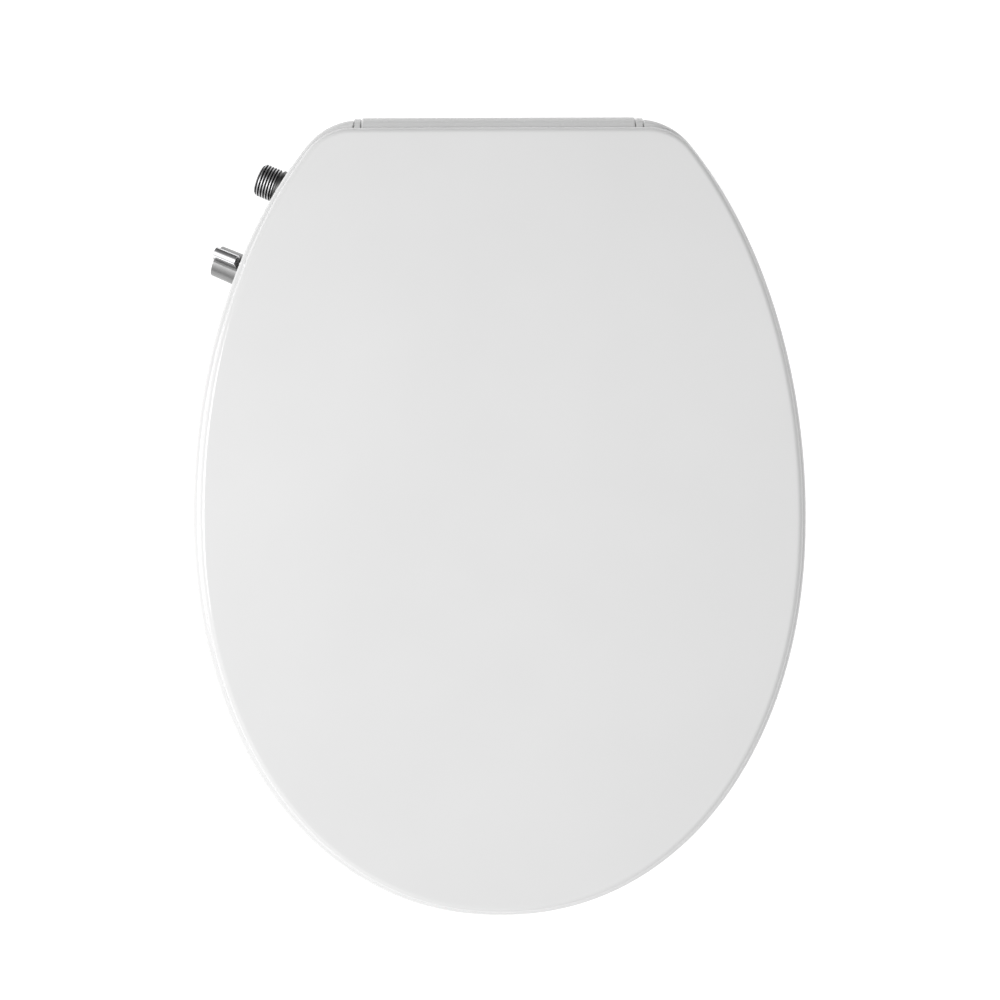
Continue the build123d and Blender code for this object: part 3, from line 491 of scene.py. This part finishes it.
KNOB_JOINT = JOINTS["knob_turn"]
KNOB_AXIS = Vector(KNOB_JOINT["axis"]).normalized()
KNOB_POINT = Vector(KNOB_JOINT["pos_m"])
LEVER_LEAN = radians(12)       # how far the lever leans to the rear when the water is off
REARWARD = Vector((0, 0, 1)).cross(KNOB_AXIS) * -1
LEVER_UP = Vector((0, 0, cos(LEVER_LEAN))) + REARWARD * sin(LEVER_LEAN)
KNOB = frame_at(KNOB_POINT - KNOB_AXIS * KNOB_POINT.dot(KNOB_AXIS), KNOB_AXIS, LEVER_UP)
KNOB_START, KNOB_END = 121.5 * MM, 148.1 * MM
KNOB_RADIUS, KNOB_TAPER = 10.35 * MM, 0.55 * MM
SOCKET_RADIUS, SOCKET_DEPTH = 3.5 * MM, 15.0 * MM
SCREW_RADIUS, SCREW_DEPTH = 3.5 * MM, 3.5 * MM
KNOB_EDGE = 0.6 * MM
LEVER_START = KNOB_END - 14.5 * MM
LEVER_HEIGHT, LEVER_HALF = 20.8 * MM, 3.4 * MM
LEVER_CROWN, CROWN_FULLNESS, CROWN_BLEND = 2.2 * MM, 0.9, 0.9 * MM
LEVER_FOOT, LEVER_RUN_OUT = 3.0 * MM, 2.2 * MM           # blends of the lever into the round body


def soft_max(a, b, width):
    """The larger of two radii, with a rounded change-over."""
    blend = np.clip(0.5 + (a - b) / (2 * width), 0, 1)
    return b + (a - b) * blend + width * blend * (1 - blend)


# angles round the knob, closer together where the lever is
KNOB_TURNS = np.unique(np.r_[np.linspace(-pi, pi, 181)[:-1], np.linspace(-0.75, 0.75, 221)])


def knob_circle(radius):
    return radius * np.c_[np.cos(KNOB_TURNS), np.sin(KNOB_TURNS)]


def narrowed(loop, inset):
    """The loop with every point drawn towards the axis by the given distance."""
    return loop * (1 - inset / np.hypot(*loop.T))[:, None]


def knob_outline(share):
    """Cross-section of the knob: a circle, with the lever ridge grown out of it by the given share."""
    turn = KNOB_TURNS
    above = np.abs(turn) < pi / 2
    side = np.where(above, LEVER_HALF / np.maximum(np.abs(np.sin(turn)), 1e-6), 0)
    top = KNOB_RADIUS + (LEVER_HEIGHT - KNOB_RADIUS) * share
    across = np.clip(np.abs(top * np.sin(turn)) / LEVER_HALF, 0, 1)
    cap = top - LEVER_CROWN * (1 - np.sqrt(1 - across**2 * CROWN_FULLNESS))
    ridge = np.where(above, -soft_max(-side, -np.maximum(cap, 0), CROWN_BLEND), 0)
    circle = np.full_like(turn, KNOB_RADIUS)
    radius = soft_max(ridge, circle, LEVER_FOOT) if share > 0 else circle
    return np.c_[radius * np.cos(turn), radius * np.sin(turn)]


def make_knob():
    """Tapered knob with its spindle socket, the lever ridge and the recess for its screw."""
    rows = []

    def add(loop, height):
        slim = 1 - KNOB_TAPER / KNOB_RADIUS * (height - KNOB_START) / (KNOB_END - KNOB_START)
        rows.append([KNOB @ Vector((x * slim, y * slim, height)) for x, y in loop])

    socket, recess = knob_circle(SOCKET_RADIUS), knob_circle(SCREW_RADIUS)
    socket_top, recess_floor = KNOB_START + SOCKET_DEPTH, KNOB_END - SCREW_DEPTH
    add(socket, socket_top)
    add(socket, KNOB_START)
    plain = knob_circle(KNOB_RADIUS)
    for inset, height in ((4.0, 0.0), (0.6, 0.0), (0.2, 0.12), (0.0, 0.5)):
        add(narrowed(plain, inset * MM), KNOB_START + height * MM)
    for height in np.linspace(KNOB_START + 1.2 * MM, LEVER_START - LEVER_RUN_OUT - 0.2 * MM, 6):
        add(plain, height)
    steps = 14
    for share in (step / steps for step in range(1, steps + 1)):
        add(knob_outline(sin(share * pi / 2) ** 0.9), LEVER_START - LEVER_RUN_OUT * (1 - share) ** 1.6)
    full = knob_outline(1.0)
    for height in np.linspace(LEVER_START + 0.5 * MM, KNOB_END - KNOB_EDGE - 0.1 * MM, 8):
        add(full, height)
    for inset, drop in arc_rows(KNOB_EDGE, 5):
        add(narrowed(full, inset), KNOB_END - drop)
    for scale in (0.85, 0.6, 0.45):
        add(full * scale, KNOB_END)
    add(recess, KNOB_END)
    add(recess, recess_floor)
    ends = [KNOB @ Vector((0, 0, height)) for height in (socket_top, recess_floor)]
    return new_object("lever_knob", *rings(rows, *ends), smooth_angle=40)


# ---------------------------------------------------------------- bowl bolts

BOLTS = MOUNTS["bowl_bolts"]["dims"]
BOLT_PITCH, BOLT_THREAD_DEPTH = 1.25 * MM, 0.65 * MM
STUD_RADIUS, TAIL_RADIUS = BOLTS["stud_r_mm"] * MM, 3.6 * MM
NECK_RADIUS, HEAD_RADIUS, HEAD_ROUND = 4.6 * MM, 7.5 * MM, 2.0 * MM
PLATE_TOP, RIM_BOTTOM = 3.0 * MM, -20.0 * MM             # the mounting plate and the bowl's rim


def make_bolts():
    """Two bolts with a domed head, a plain shank through the bowl's rim and a threaded tail."""
    low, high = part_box("bowl_bolts")
    bottom, head_top = low[2], high[2]
    ease = 0.4 * MM
    shank = [(STUD_RADIUS - ease, RIM_BOTTOM), (STUD_RADIUS, RIM_BOTTOM + ease), (STUD_RADIUS, 0.0)]
    shank += [(NECK_RADIUS, 0.0), (NECK_RADIUS, PLATE_TOP)]
    shank += [(HEAD_RADIUS - 0.3 * MM, PLATE_TOP), (HEAD_RADIUS, PLATE_TOP + 0.3 * MM)]
    shank += [(HEAD_RADIUS - inset, head_top - drop) for inset, drop in arc_rows(HEAD_ROUND, 6)]
    verts, faces = [], []
    for side in (-1, 1):
        place = Matrix.Translation((side * BOLTS["spacing_x_mm"] * MM / 2, 0, 0))
        rows = revolve([(TAIL_RADIUS - 0.8 * MM, bottom)], place, 64)
        rows += thread_rows(
            place, TAIL_RADIUS - BOLT_THREAD_DEPTH, TAIL_RADIUS, BOLT_PITCH,
            bottom + 0.6 * MM, RIM_BOTTOM - ease, taper_in=0.9 * MM, taper_out=1.2 * MM, segments=64,
        )
        rows += revolve(shank, place, 64)
        part_verts, part_faces = rings(rows, place @ Vector((0, 0, bottom)), place @ Vector((0, 0, head_top)))
        faces += [tuple(i + len(verts) for i in face) for face in part_faces]
        verts += part_verts
    return new_object("threaded_bolts", verts, faces, smooth_angle=50)


# ---------------------------------------------------------------- materials


COAT_ROUGHNESS = 0.08
NOISE_LOW, NOISE_HIGH = 0.3, 0.7     # the noise's useful range, which is spread over each property


class Shader:
    """A Principled material with its own noise-driven colour, roughness and relief."""

    def __init__(self, name, metallic=0.0, ior=1.5, coat=0.0, subsurface=0.0):
        self.material = bpy.data.materials.new(name)
        self.material.use_nodes = True
        self.nodes = self.material.node_tree.nodes
        self.links = self.material.node_tree.links
        self.surface = self.nodes["Principled BSDF"]
        self.surface.inputs["Metallic"].default_value = metallic
        self.surface.inputs["IOR"].default_value = ior
        self.surface.inputs["Coat Weight"].default_value = coat
        self.surface.inputs["Coat Roughness"].default_value = COAT_ROUGHNESS
        self.surface.inputs["Subsurface Weight"].default_value = subsurface
        self.place = self.nodes.new("ShaderNodeTexCoord").outputs["Object"]
        self.relief = None

    def stretched(self, scale, turn=(0, 0, 0)):
        mapping = self.nodes.new("ShaderNodeMapping")
        mapping.inputs["Scale"].default_value = scale
        mapping.inputs["Rotation"].default_value = turn
        self.links.new(self.place, mapping.inputs["Vector"])
        return mapping.outputs["Vector"]

    def noise(self, scale, detail=2.0, rough=0.5, vector=None):
        node = self.nodes.new("ShaderNodeTexNoise")
        node.inputs["Scale"].default_value = scale
        node.inputs["Detail"].default_value = detail
        node.inputs["Roughness"].default_value = rough
        self.links.new(vector or self.place, node.inputs["Vector"])
        return node.outputs["Fac"]

    def spread(self, value, low, high):
        node = self.nodes.new("ShaderNodeMapRange")
        node.inputs["From Min"].default_value = NOISE_LOW
        node.inputs["From Max"].default_value = NOISE_HIGH
        node.inputs["To Min"].default_value = low
        node.inputs["To Max"].default_value = high
        self.links.new(value, node.inputs["Value"])
        return node.outputs["Result"]

    def colour(self, value, dark, light):
        ramp = self.nodes.new("ShaderNodeValToRGB")
        ends = ((NOISE_LOW, dark), (NOISE_HIGH, light))
        for element, (position, colour) in zip(ramp.color_ramp.elements, ends):
            element.position = position
            element.color = (*colour, 1)
        self.links.new(value, ramp.inputs["Fac"])
        self.links.new(ramp.outputs["Color"], self.surface.inputs["Base Color"])

    def roughness(self, value, low, high):
        self.links.new(self.spread(value, low, high), self.surface.inputs["Roughness"])

    def bump(self, value, strength, distance):
        node = self.nodes.new("ShaderNodeBump")
        node.inputs["Strength"].default_value = strength
        node.inputs["Distance"].default_value = distance
        self.links.new(value, node.inputs["Height"])
        if self.relief:
            self.links.new(self.relief, node.inputs["Normal"])
        self.relief = node.outputs["Normal"]
        self.links.new(self.relief, self.surface.inputs["Normal"])


def glossy_plastic(name, shade, polish):
    """Moulded plastic: faint flow marks in the colour, orange peel and a slow waviness in the surface."""
    made = Shader(name, ior=1.49, coat=0.15)
    made.colour(made.noise(9, 3), (shade - 0.012,) * 3, (shade + 0.008,) * 3)
    made.roughness(made.noise(520, 3), polish, polish + 0.04)
    made.bump(made.noise(14, 1), 0.25, 0.00012)
    made.bump(made.noise(1400, 2), 0.08, 0.00003)
    return made.material


def satin_plastic(name, shade):
    """Plastic with a fine matt texture, a trace warmer in its darker patches."""
    made = Shader(name, ior=1.47)
    made.colour(made.noise(20, 3), (shade - 0.02,) * 2 + (shade - 0.026,), (shade + 0.01,) * 3)
    made.roughness(made.noise(240, 4), 0.36, 0.5)
    made.bump(made.noise(2600, 2), 0.25, 0.00004)
    return made.material


def brushed_metal(name, dark, light, rough, stretch, turn=(0, 0, 0)):
    """Metal with fine tool marks that are long in the direction that is scaled down."""
    made = Shader(name, metallic=1.0)
    marks = made.noise(900, 3, 0.6, made.stretched(stretch, turn))
    made.colour(made.noise(60, 3), dark, light)
    made.roughness(marks, rough, rough + 0.14)
    made.bump(marks, 0.35, 0.00002)
    return made.material


def rubber(name, shade):
    """Matt rubber with a fine grain."""
    made = Shader(name, ior=1.52)
    made.colour(made.noise(70, 4), (shade * 0.85,) * 3, (shade * 1.1,) * 3)
    made.roughness(made.noise(400, 3), 0.62, 0.8)
    made.bump(made.noise(3200, 3), 0.4, 0.00005)
    return made.material


def soft_tube(name):
    """Milky flexible tube that lets a little light through."""
    made = Shader(name, ior=1.5, subsurface=0.2)
    made.colour(made.noise(120, 2), (0.72, 0.74, 0.76), (0.8, 0.82, 0.84))
    made.roughness(made.noise(500, 2), 0.3, 0.42)
    made.bump(made.noise(900, 2), 0.2, 0.00004)
    return made.material


FITTING_TURN = (0, 0, atan2(OUT.y, OUT.x))
ALONG_AXIS, ROUND_AXIS = (0.25, 3.0, 3.0), (4.0, 0.3, 0.3)


def fitting_metal(name, dark, light, rough, stretch):
    """Grey metal of a fitting, with its tool marks laid along or round the fitting's axis."""
    return brushed_metal(name, dark, light, rough, stretch, FITTING_TURN)


MATERIALS = {
    "lid_white": glossy_plastic("lid_white", 0.67, 0.11),
    "seat_white": glossy_plastic("seat_white", 0.67, 0.17),
    "base_white": glossy_plastic("base_white", 0.66, 0.24),
    "inner_plastic": satin_plastic("inner_plastic", 0.62),
    "nut_plastic": satin_plastic("nut_plastic", 0.72),
    # Knob body: chrome darkened to 0.24-0.29, a painted shade standing in for the dark surroundings it
    # reflects
    "painted_shade_chrome": fitting_metal("painted_shade_chrome", (0.24,) * 3, (0.29,) * 3, 0.24, ALONG_AXIS),
    # Knob lever: the same chrome made much lighter, a painted highlight on the lever's ridge
    "painted_highlight_chrome": fitting_metal("painted_highlight_chrome", (0.7, 0.7, 0.71), (0.8, 0.8, 0.81), 0.12, ALONG_AXIS),
    "inlet_metal": fitting_metal("inlet_metal", (0.5, 0.5, 0.51), (0.6, 0.6, 0.61), 0.3, ROUND_AXIS),
    # Inlet collar and spigot: the inlet's metal made near black, a painted shade
    "collar_painted_shade": fitting_metal("collar_painted_shade", (0.1,) * 3, (0.14,) * 3, 0.3, ROUND_AXIS),
    # Thread flanks and roots: near-black metal, a painted shade in the grooves
    "groove_painted_shade": fitting_metal("groove_painted_shade", (0.05,) * 3, (0.08,) * 3, 0.4, ROUND_AXIS),
    "steel": brushed_metal("steel", (0.5, 0.5, 0.51), (0.6, 0.6, 0.61), 0.28, (0.2, 3.0, 3.0)),
    "nozzle_steel": brushed_metal("nozzle_steel", (0.6, 0.6, 0.61), (0.7, 0.7, 0.71), 0.16, (3.0, 0.3, 0.3)),
    "brass": brushed_metal("brass", (0.55, 0.4, 0.16), (0.68, 0.52, 0.24), 0.25, (3.0, 0.3, 0.3)),
    "dark_rubber": rubber("dark_rubber", 0.05),
    "grey_rubber": rubber("grey_rubber", 0.42),
    "soft_tube": soft_tube("soft_tube"),
}


def finish_with(obj, material):
    obj.data.materials.clear()
    obj.data.materials.append(MATERIALS[material])


def paint(obj, material, matrix, chosen):
    """Give a second material to the faces chosen by their radius and height in a local frame."""
    obj.data.materials.append(MATERIALS[material])
    index = len(obj.data.materials) - 1
    to_local = matrix.inverted()
    for face in obj.data.polygons:
        x, y, height = to_local @ face.center
        if chosen((x * x + y * y) ** 0.5, height):
            face.material_index = index


def on_groove(radius, height):
    """The thread's flanks and roots get a near-black painted shade; its crests keep the inlet's lighter
    metal.
    """
    return radius < CREST - 0.12 * MM and abs(height) < THREAD_HALF + MM


# faces of the collar and spigot, which get the near-black metal as painted shade
def on_collar(radius, height):
    return height < -THREAD_HALF


# faces of the lever ridge, which get the lighter chrome as a painted highlight
def on_lever(radius, height):
    return radius > KNOB_RADIUS + 4.5 * MM


# second materials: painted shade in the thread's grooves and on the inlet's collar, painted highlight on the
# knob's lever
PAINTED = {
    "inlet_connector": (("groove_painted_shade", INLET, on_groove), ("collar_painted_shade", INLET, on_collar)),
    "control_knob": (("painted_highlight_chrome", KNOB, on_lever),),
}


# ---------------------------------------------------------------- putting the pieces in place

NODE_MATERIALS = {
    "base_white": ("base_housing", "base_top_cover", "nozzle_shroud", "nozzle_guard", "release_button"),
    "seat_white": ("seat_underside",),
    "inner_plastic": (
        "seat_damper", "lid_damper", "nozzle_block", "valve_disc", "release_bracket", "seat_ear_bush",
        "lid_knuckle_bush",
    ),
    "nut_plastic": ("wing_nuts",),
    "steel": (
        "seat_damper_shaft", "lid_damper_shaft", "knob_screw", "base_screws", "guard_pin",
        "rear_nozzle_spring", "front_nozzle_spring", "release_spring", "inlet_filter", "mounting_plate",
    ),
    "nozzle_steel": ("rear_nozzle", "front_nozzle", "rear_nozzle_tip", "front_nozzle_tip"),
    "brass": ("valve_body", "valve_spindle"),
    "inlet_metal": ("inlet_lock_nut",),
    "dark_rubber": ("inlet_seal", "cone_washers", "knob_escutcheon"),
    "grey_rubber": ("base_pads", "seat_bumpers", "lid_bumpers"),
    "soft_tube": ("supply_tube", "wash_tube_lower", "wash_tube_upper"),
}
for material, names in NODE_MATERIALS.items():
    for name in names:
        finish_with(frame["nodes"][name], material)

PIECES = (
    (make_lid, "lid", "lid_shell", "lid_white", "seat_white"),
    (make_seat_ring, "seat", "seat_ring", "seat_white", "seat_white"),
    (make_inlet, "base", "inlet_connector", "inlet_metal", "inlet_metal"),
    # the knob's body carries the darkened chrome (painted shade), its lever the lighter chrome (painted
    # highlight)
    (make_knob, "knob", "control_knob", "painted_shade_chrome", "chrome"),
    (make_bolts, "base", "bowl_bolts", "steel", "steel"),
)
for make, body, node, material, slot in PIECES:
    piece = make()
    finish_with(piece, material)
    for second, matrix, chosen in PAINTED.get(node, ()):
        paint(piece, second, matrix, chosen)
    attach(piece, body)
    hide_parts(node)

# ---------------------------------------------------------------- floor, light and camera


FLOOR_SIZE, FLOOR_GLOW = 6.0, 0.72   # the glow keeps the floor white in the picture


def make_floor():
    """Plain pale floor just below the lowest part."""
    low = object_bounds()[0][2] - 1 * MM
    corners = [(x * FLOOR_SIZE, y * FLOOR_SIZE, low) for x, y in ((-1, -1), (1, -1), (1, 1), (-1, 1))]
    floor = new_object("floor", corners, [(0, 1, 2, 3)])
    made = Shader("floor_white")
    made.colour(made.noise(3, 2), (0.48, 0.48, 0.48), (0.52, 0.52, 0.52))
    made.roughness(made.noise(40, 2), 0.7, 0.8)
    made.surface.inputs["Emission Color"].default_value = (1, 1, 1, 1)
    made.surface.inputs["Emission Strength"].default_value = FLOOR_GLOW
    floor.data.materials.append(made.material)


def area_light(name, place, aim, size, power):
    """A round lamp of the given size that faces the aim."""
    data = bpy.data.lights.new(name, "AREA")
    data.shape = "DISK"
    data.size = size
    data.energy = power
    light = bpy.data.objects.new(name, data)
    light.location = place
    light.rotation_euler = (Vector(aim) - Vector(place)).to_track_quat("-Z", "Y").to_euler()
    bpy.context.scene.collection.objects.link(light)


def make_world():
    """Soft studio dome: brightest overhead, dimmer towards the horizon, the rear and the right side."""
    world = bpy.data.worlds.new("studio")
    world.use_nodes = True
    nodes, links = world.node_tree.nodes, world.node_tree.links
    split = nodes.new("ShaderNodeSeparateXYZ")
    links.new(nodes.new("ShaderNodeTexCoord").outputs["Generated"], split.inputs[0])

    def ranged(axis, start, end, low, high):
        """A level that eases from low to high between two values of the direction's component."""
        node = nodes.new("ShaderNodeMapRange")
        node.interpolation_type = "SMOOTHSTEP"
        for name, value in zip(("From Min", "From Max", "To Min", "To Max"), (start, end, low, high)):
            node.inputs[name].default_value = value
        links.new(split.outputs[axis], node.inputs["Value"])
        return node.outputs["Result"]

    def times(a, b):
        node = nodes.new("ShaderNodeMath")
        node.operation = "MULTIPLY"
        links.new(a, node.inputs[0])
        links.new(b, node.inputs[1])
        return node.outputs["Value"]

    level = times(ranged("Z", 0.0, 1.0, 0.52, 1.62), ranged("Y", -0.05, 0.5, 1.0, 0.15))
    level = times(level, ranged("X", -0.5, 0.8, 1.1, 0.6))
    links.new(level, nodes["Background"].inputs["Strength"])
    nodes["Background"].inputs["Color"].default_value = (1, 1, 1, 1)
    bpy.context.scene.world = world


make_floor()
area_light("key", place=(-1.2, -0.1, 1.25), aim=(0, -0.2, 0.0), size=0.8, power=12.5)
make_world()
bpy.context.scene.view_settings.view_transform = "Standard"

LID_EDGE_Z = 51.0 * MM
CAMERA_HEIGHT = 1.0            # above the lid's edge
VIEW_WIDTH = 0.607             # how much the view takes in at the height of the lid's edge
CAMERA_X, CAMERA_Y = 0.3 * MM, -189.5 * MM
CAMERA_ROLL = radians(-0.18)
SENSOR = 36.0
camera_data = bpy.data.cameras.new("camera")
camera_data.sensor_width = SENSOR
camera_data.lens = SENSOR * CAMERA_HEIGHT / VIEW_WIDTH
camera = bpy.data.objects.new("camera", camera_data)
camera.location = (CAMERA_X, CAMERA_Y, LID_EDGE_Z + CAMERA_HEIGHT)
camera.rotation_euler = (0, 0, CAMERA_ROLL)
bpy.context.scene.collection.objects.link(camera)
bpy.context.scene.camera = camera
